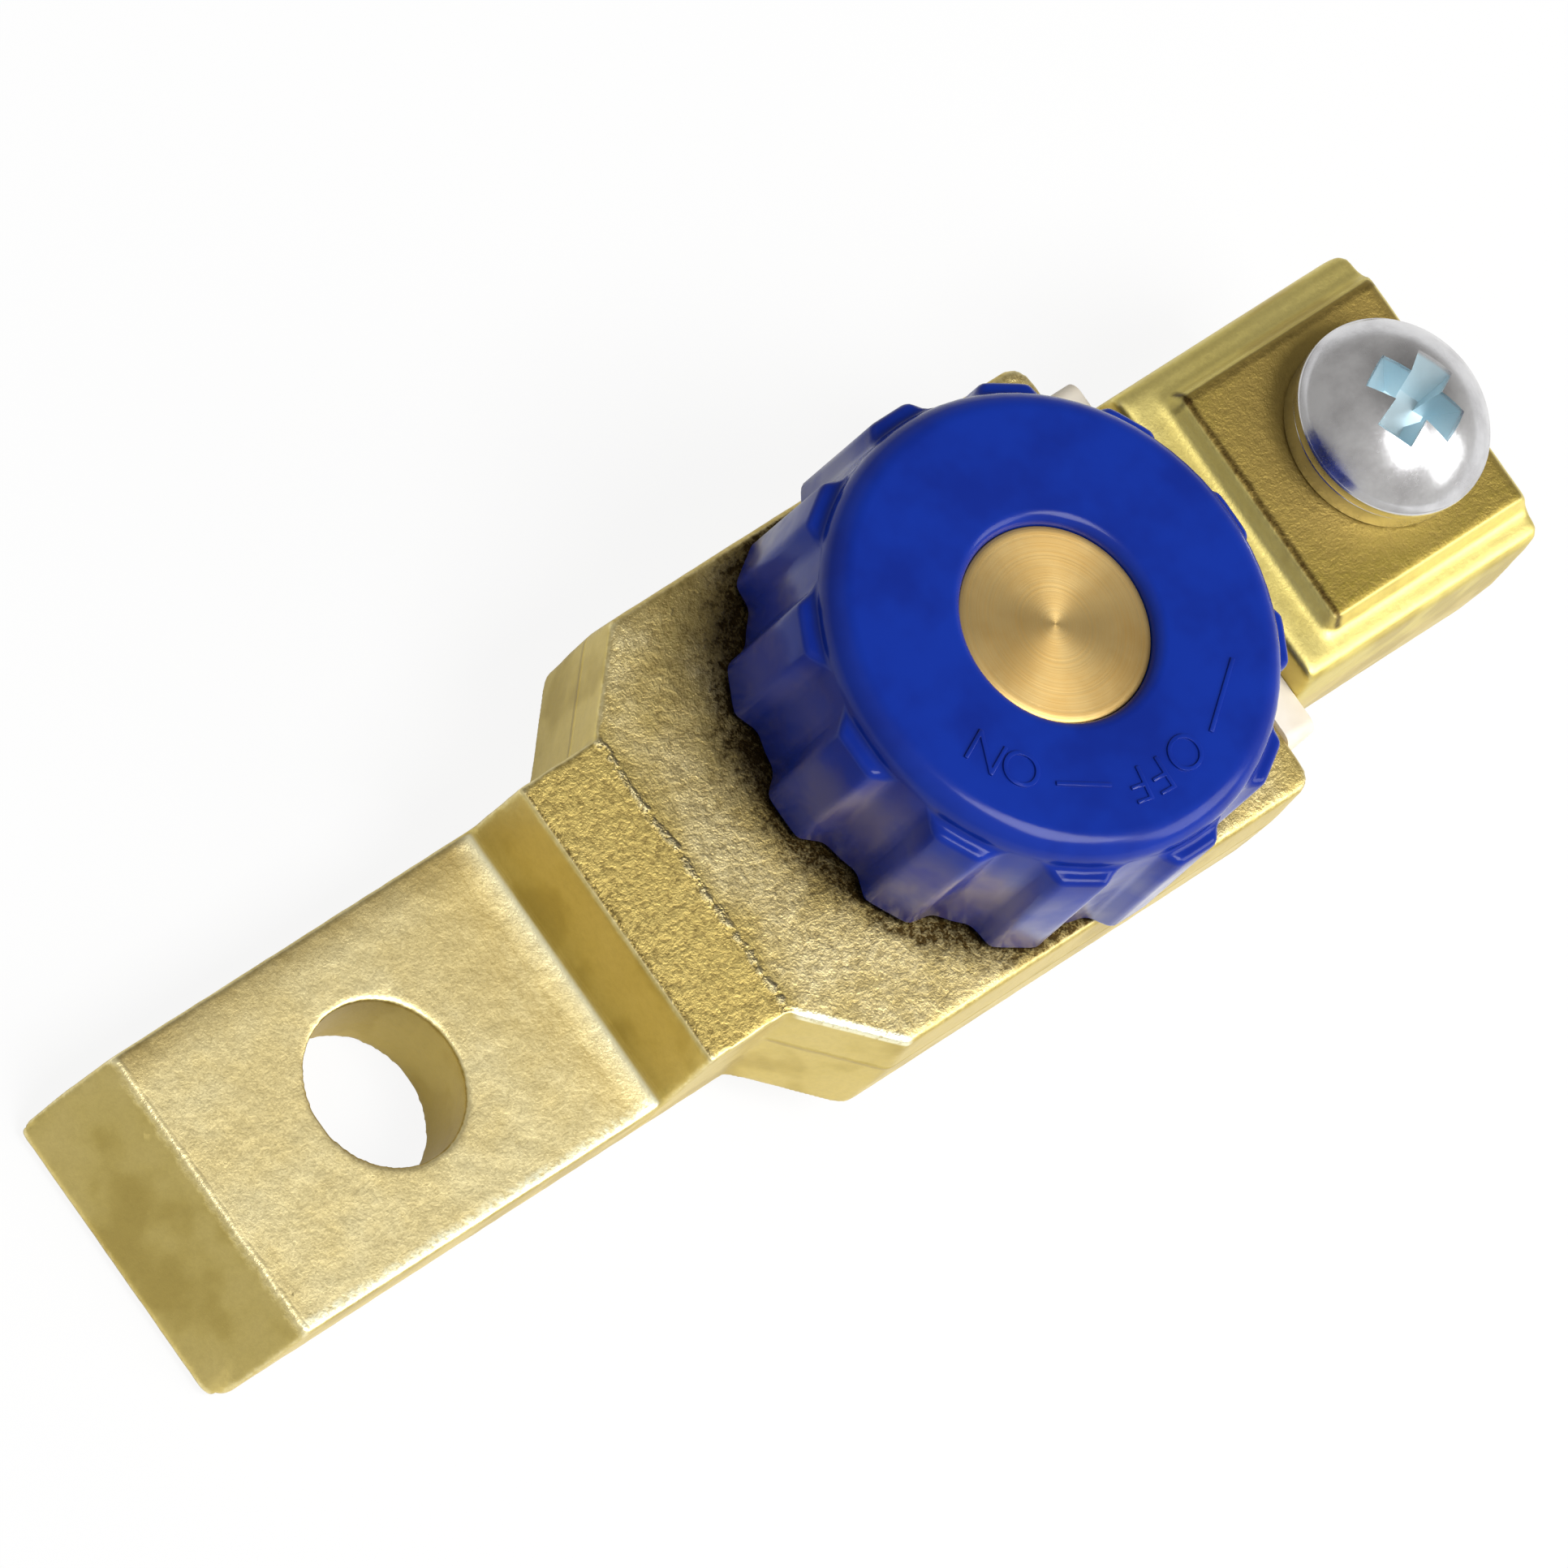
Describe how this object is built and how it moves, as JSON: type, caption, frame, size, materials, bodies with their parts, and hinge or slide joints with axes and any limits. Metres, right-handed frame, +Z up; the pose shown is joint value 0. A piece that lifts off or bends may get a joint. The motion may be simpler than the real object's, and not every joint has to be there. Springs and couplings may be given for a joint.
{
  "type": "battery terminal disconnect switch",
  "caption": "Brass battery disconnect switch with a bolt-on lug tongue, a blue ribbed screw knob and a screw-clamp cable terminal.",
  "frame": {"origin": "on the axis of the lug hole, at the underside of the tongue", "axes": "+X runs along the switch from the lug hole to the clamp screw, +Z is up along the lug hole and the knob's axis"},
  "size_m": [0.0983, 0.0308, 0.025],
  "materials": {
    "cast_brass": "sand-cast texture, worn bright on its edges",
    "turned_brass": "face-turned, fine concentric tool marks",
    "nylon": "moulded, natural white",
    "blue_plastic": "moulded, satin gloss",
    "zinc_plated_steel": "bright blue-white zinc plate",
    "spring_steel": "plain"
  },
  "bodies": {
    "housing": {"lug_casting": "cast_brass", "terminal_casting": "cast_brass", "insulating_sleeve": "nylon", "blade_bush": "nylon"},
    "clip": {"stud_clip": "spring_steel"},
    "knob": {"knob": "blue_plastic", "contact_stud": "turned_brass"},
    "washer": {"spring_washer": "zinc_plated_steel"},
    "screw": {"clamp_screw": "zinc_plated_steel"}
  },
  "joints": [
    {"name": "knob_lift", "type": "slide", "parent": "housing", "child": "clip", "axis": [0, 0, 1], "range_m": [0, 0.00167]},
    {"name": "knob_turn", "type": "hinge", "parent": "clip", "child": "knob", "pos_m": [0.0429, 0, 0], "axis": [0, 0, 1], "range_deg": [0, 480]},
    {"name": "screw_lift", "type": "slide", "parent": "housing", "child": "washer", "axis": [0, 0, 1], "range_m": [0, 0.005]},
    {"name": "screw_turn", "type": "hinge", "parent": "washer", "child": "screw", "pos_m": [0.0737, 0, 0], "axis": [0, 0, 1], "range_deg": [0, 1800]}
  ],
  "couplings": [
    {"joint": "knob_turn", "follows": "knob_lift", "rad_per_m": 5026.5},
    {"joint": "screw_turn", "follows": "screw_lift", "rad_per_m": 6283.2}
  ]
}
